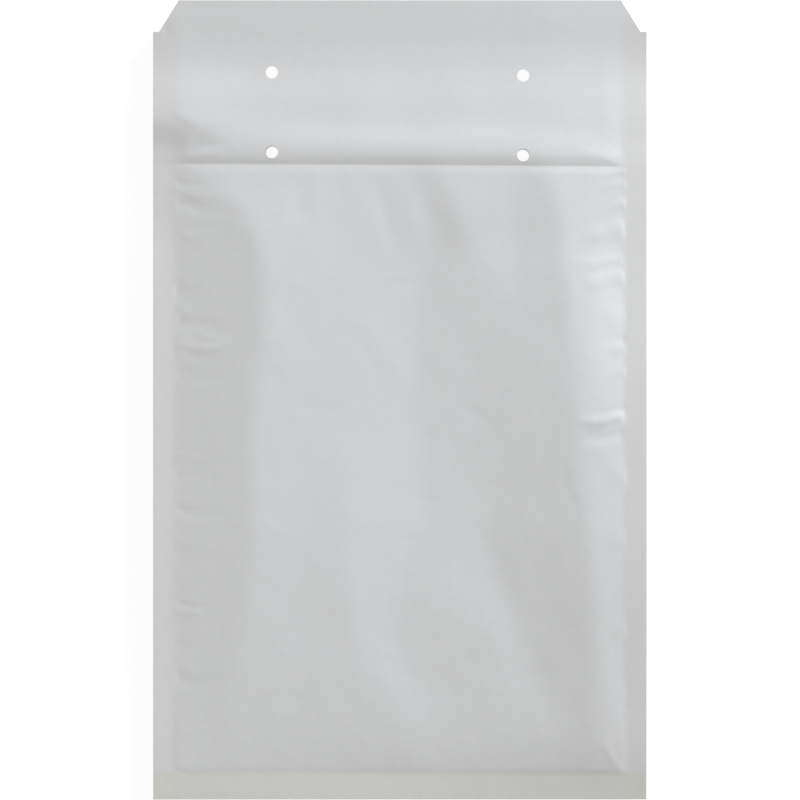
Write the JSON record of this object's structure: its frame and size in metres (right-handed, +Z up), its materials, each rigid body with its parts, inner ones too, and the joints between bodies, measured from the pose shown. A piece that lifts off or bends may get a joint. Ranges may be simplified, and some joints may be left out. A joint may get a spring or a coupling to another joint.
{
  "type": "padded envelope",
  "caption": "White paper envelope with an air-bubble lining, sealed sides and bottom, punched holes and an open self-sealing flap, lying flat.",
  "frame": {"origin": "on the surface that the envelope lies on, under the middle of its length and width", "axes": "+Z up through the address panel, +Y along the envelope towards the flap, +X to the right as the address panel is seen"},
  "size_m": [0.2, 0.324, 0.0114],
  "materials": {
    "white_paper": "smooth uncoated paper, faintly mottled",
    "clear_film": "clear polyethylene film with round air bubbles",
    "adhesive": "tacky hot-melt layer",
    "release_paper": "siliconised, slightly glossy"
  },
  "bodies": {
    "root": {"paper_envelope": "white_paper", "bubble_lining": "clear_film", "adhesive_strip": "adhesive", "release_liner": "release_paper"}
  },
  "joints": []
}
